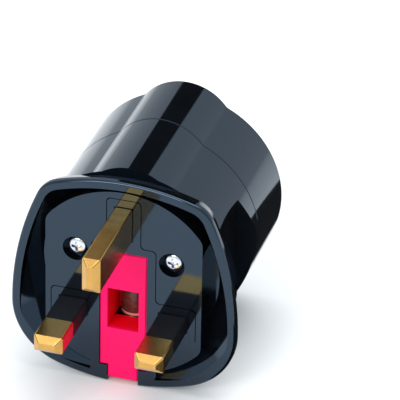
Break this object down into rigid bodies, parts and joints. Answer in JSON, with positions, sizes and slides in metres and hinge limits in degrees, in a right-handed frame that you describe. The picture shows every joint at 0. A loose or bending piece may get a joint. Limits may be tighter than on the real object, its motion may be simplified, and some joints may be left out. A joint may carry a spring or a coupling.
{
  "type": "travel adapter",
  "caption": "Travel adapter with three flat pins on a rounded plug face, a pull-out fuse carrier, a round body with finger grips and a recessed round socket with side earth clips.",
  "frame": {"origin": "on the pin face, on the axis of the round socket", "axes": "-Y out of the pin face along the pins, +Z towards the earth pin, +X to the right as the pin face is looked at"},
  "size_m": [0.0504, 0.0667, 0.0514],
  "materials": {
    "black_plastic": "gloss",
    "sleeve_plastic": "gloss",
    "pink_plastic": "gloss",
    "plate_plastic": "matte",
    "shutter_plastic": "matte",
    "pin_brass": "satin",
    "contact_brass": "satin",
    "fuse_cap_metal": "polished",
    "fuse_tube": "glazed",
    "wire_metal": "satin",
    "screw_zinc": "polished",
    "spring_steel": "satin"
  },
  "bodies": {
    "adapter": {"front_housing": "black_plastic", "pin_carrier": "black_plastic", "socket_shell": "black_plastic", "live_pin": "pin_brass", "neutral_pin": "pin_brass", "earth_pin": "pin_brass", "live_sleeve": "sleeve_plastic", "neutral_sleeve": "sleeve_plastic", "fuse_clip_upper": "contact_brass", "fuse_clip_lower": "contact_brass", "live_link": "contact_brass", "contact_link": "contact_brass", "neutral_link": "contact_brass", "live_contact": "contact_brass", "neutral_contact": "contact_brass", "earth_strap": "contact_brass", "contact_plate": "plate_plastic", "shutter_spring": "spring_steel", "housing_screw_left": "screw_zinc", "housing_screw_right": "screw_zinc"},
    "fuse_drawer": {"fuse_carrier": "pink_plastic", "fuse_body": "fuse_tube", "fuse_cap_upper": "fuse_cap_metal", "fuse_cap_lower": "fuse_cap_metal", "fuse_wire": "wire_metal"},
    "shutter_slider": {"shutter": "shutter_plastic"}
  },
  "joints": [
    {"name": "fuse_carrier_slide", "type": "slide", "parent": "adapter", "child": "fuse_drawer", "axis": [0, -1, 0], "range_m": [0, 0.016]},
    {"name": "shutter_slide", "type": "slide", "parent": "adapter", "child": "shutter_slider", "axis": [0, 0, -1], "range_m": [0, 0.006], "stiffness_N_per_m": 50, "springref_m": -0.004, "deforming": ["shutter_spring"]}
  ]
}
